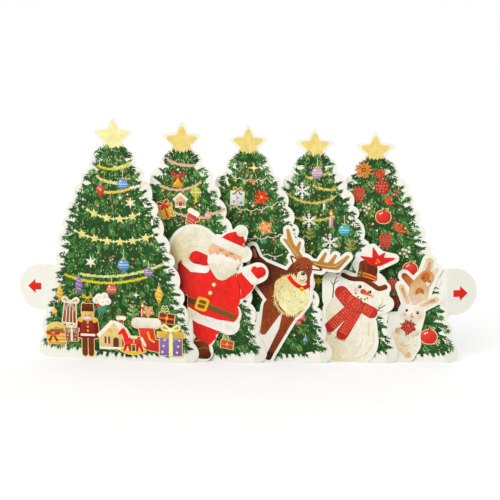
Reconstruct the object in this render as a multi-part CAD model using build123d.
from build123d import *
import os
from math import acos, cos, degrees, radians, sin, tan

# A pull-out Christmas card, standing pulled open. Five die-cut trees stand in a zigzag, and four figure panels
# link each tree's folded right edge to the front of the next tree. A round tab at each end pulls the card open.
# X runs along the card from left to right, -Y faces the viewer and Z is up, with the feet of the trees at zero.

# Card stock and its folds, with the angle between a panel and the card's long direction in degrees
card_thickness = 0.4
glue_gap = 0.3
fold_angle = 12
fold_radius = 1.2

# Trees, from the front one to the last, with the distances between their axes
tree_spacings = (47.5, 46, 46, 42)
tree_height = 170
tree_height_step = 2.4
tree_left_half = 56
tree_right_half = 59
foot_corner_radius = 6
crease_share = 0.8475

# Outline of a tree's sides as shares of its half width and height, and the boughs along them
left_side_shares = ((0.20, 0.875), (0.44, 0.75), (0.665, 0.575), (0.80, 0.36), (0.95, 0.15))
right_side_shares = ((0.19, 0.875), (0.41, 0.75), (0.585, 0.575), (0.775, 0.36), (0.915, 0.15))
bough_count = 12
bough_depth = 2.6
bough_length_shares = (1.0, 0.72, 1.18, 0.86, 1.05)
bough_tip_share = 0.56

# Star on top of every tree
star_radius = 11.8
star_waist_share = 0.5
star_border = 1.9
star_points = 5

# Figure panels: white border, and the link at the lower left of each
figure_border = 2
link_height = 36
flat_height = 70
relief_share = 0.34
valley_reach = 10
sheet_columns = 28
sheet_rows = 20
sheet_half_share = 0.62

# Each figure's height, how far its link reaches from its middle, and its limbs. A limb is a run of discs,
# given as shares of the height: distance from the figure's middle, height above the foot and radius.
gift_giver_height = 97
gift_giver_link_share = -0.08
gift_giver_limb_shares = (
    ((-0.165, 0.805, 0.170), (-0.115, 0.795, 0.145)),
    ((0.065, 0.790, 0.105), (0.030, 0.680, 0.062)),
    ((0.095, 0.868, 0.064), (0.155, 0.917, 0.040)),
    ((0.172, 0.948, 0.031), (0.155, 0.917, 0.030)),
    ((0.010, 0.868, 0.040), (0.190, 0.790, 0.040)),
    ((-0.122, 0.585, 0.155), (0.064, 0.545, 0.134)),
    ((-0.134, 0.428, 0.104), (0.072, 0.350, 0.082)),
    ((0.158, 0.560, 0.078), (0.226, 0.630, 0.056)),
    ((0.226, 0.630, 0.056), (0.294, 0.660, 0.053)),
    ((-0.193, 0.368, 0.054), (0.086, 0.275, 0.056)),
    ((-0.086, 0.252, 0.085), (-0.086, 0.175, 0.052)),
    ((-0.122, 0.147, 0.053), (-0.103, 0.075, 0.0544)),
)
reindeer_height = 97
reindeer_link_share = -0.07
reindeer_limb_shares = (
    ((-0.165, 0.650, 0.086), (0.000, 0.524, 0.144)),
    ((-0.206, 0.722, 0.042), (-0.165, 0.650, 0.086)),
    ((-0.206, 0.742, 0.036), (-0.226, 0.825, 0.022)),
    ((0.050, 0.495, 0.134), (0.052, 0.402, 0.080)),
    ((0.050, 0.495, 0.134), (0.107, 0.660, 0.080)),
    ((0.107, 0.660, 0.080), (0.128, 0.705, 0.074)),
    ((0.090, 0.722, 0.030), (0.056, 0.763, 0.018)),
    ((0.180, 0.705, 0.030), (0.258, 0.682, 0.018)),
    ((0.110, 0.760, 0.022), (0.045, 0.855, 0.020), (0.024, 0.960, 0.014)),
    ((0.062, 0.830, 0.018), (0.000, 0.890, 0.012)),
    ((0.085, 0.800, 0.018), (0.110, 0.872, 0.012)),
    ((0.195, 0.720, 0.020), (0.370, 0.702, 0.020), (0.448, 0.780, 0.014)),
    ((0.250, 0.722, 0.018), (0.292, 0.800, 0.012)),
    ((0.320, 0.715, 0.018), (0.362, 0.785, 0.012)),
    ((0.040, 0.360, 0.052), (-0.010, 0.230, 0.030), (-0.108, 0.043, 0.0224)),
    ((-0.080, 0.400, 0.072), (-0.152, 0.222, 0.025)),
    ((-0.050, 0.310, 0.035), (-0.080, 0.220, 0.020)),
)
snowman_height = 84
snowman_link_share = 0
snowman_limb_shares = (
    ((-0.010, 0.185, 0.222), (0.020, 0.300, 0.180)),
    ((-0.040, 0.420, 0.170), (0.020, 0.300, 0.180)),
    ((0.130, 0.600, 0.165), (0.040, 0.440, 0.160)),
    ((-0.048, 0.722, 0.028), (0.276, 0.630, 0.030)),
    ((0.075, 0.700, 0.086), (0.130, 0.810, 0.088)),
    ((0.222, 0.862, 0.060), (0.180, 0.962, 0.014)),
    ((0.222, 0.862, 0.060), (0.352, 0.880, 0.016)),
    ((0.160, 0.850, 0.060), (0.074, 0.890, 0.012)),
    ((-0.158, 0.680, 0.050), (-0.140, 0.540, 0.070)),
    ((0.165, 0.475, 0.070), (0.285, 0.500, 0.048)),
    ((-0.190, 0.350, 0.060), (-0.040, 0.420, 0.150)),
    ((-0.100, 0.660, 0.050), (0.000, 0.620, 0.060)),
)
hare_height = 79
hare_link_share = -0.05
hare_limb_shares = (
    ((-0.068, 0.245, 0.108), (-0.050, 0.165, 0.098)),
    ((-0.050, 0.165, 0.090), (-0.042, 0.072, 0.0466)),
    ((-0.015, 0.440, 0.098), (-0.040, 0.300, 0.090)),
    ((-0.045, 0.520, 0.034), (-0.110, 0.675, 0.026)),
    ((0.060, 0.500, 0.034), (0.196, 0.568, 0.026)),
    ((0.050, 0.660, 0.090), (0.030, 0.540, 0.090)),
    ((-0.010, 0.690, 0.040), (-0.082, 0.770, 0.030)),
    ((0.112, 0.760, 0.070), (0.050, 0.660, 0.090)),
    ((0.112, 0.800, 0.050), (0.134, 0.905, 0.040)),
    ((0.150, 0.770, 0.030), (0.205, 0.840, 0.018)),
)

# Pull tabs: round end, and the length glued behind the tree
tab_radius = 16.4
tab_height = 50
tab_lap = 28
left_tab_reach = 53
right_tab_reach = 55

# What the panels share
fold_slope = tan(radians(fold_angle))
depth_thickness = card_thickness / cos(radians(fold_angle))
depth_gap = glue_gap / cos(radians(fold_angle))
cut_depth = tree_left_half + tree_right_half
crease_offset = tree_right_half * crease_share
crease_places = [crease_offset + sum(tree_spacings[:count]) for count in range(len(tree_spacings) + 1)]


def cut_from(sheet, outline, place):
    """A card sheet cut to an outline drawn in the upright plane, with the outline's zero at the given place."""
    cutter = extrude(Plane.XZ * (Pos(place, 0) * outline), cut_depth, both=True)
    return sheet & cutter


def folded_sheet(crease, reach_left, reach_right, depth, height):
    """Upright sheet whose front runs forward to an upright mountain fold at the crease, then back."""
    start = (crease - reach_left, depth + reach_left * fold_slope)
    end = (crease + reach_right, depth + reach_right * fold_slope)
    front = FilletPolyline(start, (crease, depth), end, radius=fold_radius)
    ribbon = make_face(offset(front, card_thickness, side=Side.LEFT))
    return extrude(ribbon, height, dir=(0, 0, 1))


def bough_arcs(half_width, height, side_shares, first_bough):
    """Arcs of the boughs down the right side of a tree, from under the star to the foot's rounded corner."""
    places = [(half_width * across, height * up) for across, up in side_shares]
    guide = Spline(*places, (half_width, foot_corner_radius))
    lengths = [bough_length_shares[(first_bough + step) % len(bough_length_shares)] for step in range(bough_count)]
    stops = [sum(lengths[:step]) / sum(lengths) for step in range(bough_count + 1)]

    def notch(stop):
        along = guide % stop
        inward = Vector(along.Y, -along.X) * bough_depth
        return guide @ stop + inward

    notches = [guide @ 0] + [notch(stop) for stop in stops[1:-1]] + [guide @ 1]
    arcs = []
    for step in range(bough_count):
        tip = guide @ (stops[step] + (stops[step + 1] - stops[step]) * bough_tip_share)
        arcs.append(ThreePointArc(notches[step], tip, notches[step + 1]))
    corner = Vector(half_width - foot_corner_radius, foot_corner_radius)
    middle = corner + Vector(foot_corner_radius, 0).rotate(Axis.Z, -45)
    arcs.append(ThreePointArc(notches[-1], middle, corner - Vector(0, foot_corner_radius)))
    return arcs


def star_outline(height):
    """Five-pointed star grown by its white border, with its top at the given height."""
    centre = height - star_border - star_radius
    corners = []
    for step in range(2 * star_points):
        radius = star_radius if step % 2 == 0 else star_radius * star_waist_share
        turn = radians(step * 180 / star_points)
        corners.append((radius * sin(turn), centre + radius * cos(turn)))
    return offset(make_face(Polyline(*corners, close=True)), star_border)


def tree_outline(height, first_bough):
    """Front outline of a tree: boughs down both sides, a straight foot and the star on top."""
    right = bough_arcs(tree_right_half, height, right_side_shares, first_bough)
    left = bough_arcs(tree_left_half, height, left_side_shares, first_bough + 2)
    left = [mirror(arc, Plane.YZ) for arc in left]
    foot = Line(left[-1] @ 1, right[-1] @ 1)
    star_centre = (0, height - star_border - star_radius)
    top = Polyline(left[0] @ 0, star_centre, right[0] @ 0)
    return make_face(right + left + [foot, top]) + star_outline(height)


def tree_panel(number):
    """One tree, folded back along the crease near its right edge."""
    height = tree_height - number * tree_height_step
    crease = crease_places[number]
    reach_left = crease_offset + tree_left_half + tree_right_half
    sheet = folded_sheet(crease, reach_left, tree_right_half, 0, tree_height)
    return cut_from(sheet, tree_outline(height, number), crease - crease_offset)


def limb_run(first, second):
    """Two discs joined by their common tangents. A disc is its centre's two places and its radius."""
    start = Vector(first[0], first[1])
    end = Vector(second[0], second[1])
    along = (end - start).normalized()
    lean = degrees(acos((first[2] - second[2]) / (end - start).length))
    sides = [along.rotate(Axis.Z, lean), along.rotate(Axis.Z, -lean)]
    start_sides = [start + side * first[2] for side in sides]
    end_sides = [end + side * second[2] for side in sides]
    return make_face([
        ThreePointArc(start_sides[0], start - along * first[2], start_sides[1]),
        Line(start_sides[1], end_sides[1]),
        ThreePointArc(end_sides[1], end + along * second[2], end_sides[0]),
        Line(end_sides[0], start_sides[0]),
    ])


def limb_outline(height, limb):
    """Run of discs joined by their common tangents, grown by the white border."""
    discs = [(height * across, height * up, height * size + figure_border) for across, up, size in limb]
    return Sketch() + [limb_run(first, second) for first, second in zip(discs, discs[1:])]


def figure_outline(height, limbs, link_left, link_right):
    """Front outline of a figure and its link, with nothing left of the tree's crease while it is drawn forward."""
    outline = Sketch() + [limb_outline(height, limb) for limb in limbs]
    link = Rectangle(link_right - link_left, link_height, align=(Align.MIN, Align.MIN))
    outline += Pos(link_left, 0) * link
    relief_height = link_height + (flat_height - link_height) * relief_share
    relief = Rectangle(height, relief_height, align=(Align.MAX, Align.MIN))
    below = Rectangle(2 * height, height, align=(Align.CENTER, Align.MAX))
    return outline - Pos(link_left, 0) * relief - below


def figure_sheet(valley, valley_depth, height):
    """Sheet that lies flat before the next tree, and whose lower left is drawn forward in a soft valley bend."""
    def depth(across, up):
        rise = min(max((up - link_height) / (flat_height - link_height), 0), 1)
        slack = rise * rise * (3 - 2 * rise)
        bend = abs(across)
        if bend < valley_reach:
            bend = (across * across + valley_reach * valley_reach) / (2 * valley_reach)
        return valley_depth - fold_slope * ((1 - slack) * bend + slack * across)

    half = height * sheet_half_share
    across_places = [half * (2 * step / sheet_columns - 1) for step in range(sheet_columns + 1)]
    up_places = [height * step / sheet_rows for step in range(sheet_rows + 1)]
    points = [[Vector(valley + across, depth(across, up), up) for up in up_places] for across in across_places]
    front = Face.make_surface_from_array_of_points(points)
    return extrude(front, depth_thickness, dir=(0, 1, 0))


def figure_panel(number, height, limbs, link_share):
    """Figure that links the numbered tree's folded strip to the front of the next tree."""
    crease = crease_places[number]
    next_crease = crease_places[number + 1]
    step_back = depth_thickness + depth_gap
    middle = (crease + next_crease) / 2
    valley = middle - step_back / fold_slope
    place = middle - depth_thickness / fold_slope
    valley_depth = (valley - crease) * fold_slope + step_back
    link_left = crease + fold_radius - place
    outline = figure_outline(height, limbs, link_left, height * link_share)
    return cut_from(figure_sheet(valley, valley_depth, height), outline, place)


def pull_tab(crease, centre, lap_end):
    """Round-ended tab behind a tree, from its glued lap to its round end, with the same fold as the tree."""
    sheet = folded_sheet(crease, crease_offset + left_tab_reach + tab_radius, tree_right_half,
                         depth_thickness + depth_gap, tree_height)
    lap = Pos((centre + lap_end) / 2, tab_height) * Rectangle(abs(lap_end - centre), 2 * tab_radius)
    return cut_from(sheet, Pos(centre, tab_height) * Circle(tab_radius) + lap, 0)


# All pieces, each under its own name
figures = (
    ("gift_giver_panel", gift_giver_height, gift_giver_limb_shares, gift_giver_link_share),
    ("reindeer_panel", reindeer_height, reindeer_limb_shares, reindeer_link_share),
    ("snowman_panel", snowman_height, snowman_limb_shares, snowman_link_share),
    ("hare_panel", hare_height, hare_limb_shares, hare_link_share),
)
pieces = {f"tree_panel_{number + 1}": tree_panel(number) for number in range(len(crease_places))}
for number, (name, height, limbs, link_share) in enumerate(figures):
    pieces[name] = figure_panel(number, height, limbs, link_share)
pieces["left_pull_tab"] = pull_tab(crease_places[0], -left_tab_reach, tab_lap - left_tab_reach)
last_axis = crease_places[-1] - crease_offset
pieces["right_pull_tab"] = pull_tab(crease_places[-1], last_axis + right_tab_reach,
                                    last_axis + right_tab_reach - tab_lap)

# The origin is under the middle of the whole card
box = Compound(list(pieces.values())).bounding_box()
to_middle = Pos(-box.center().X, -box.center().Y, 0)
os.makedirs("parts", exist_ok=True)
for name, piece in pieces.items():
    export_step(to_middle * piece, f"parts/{name}.step")
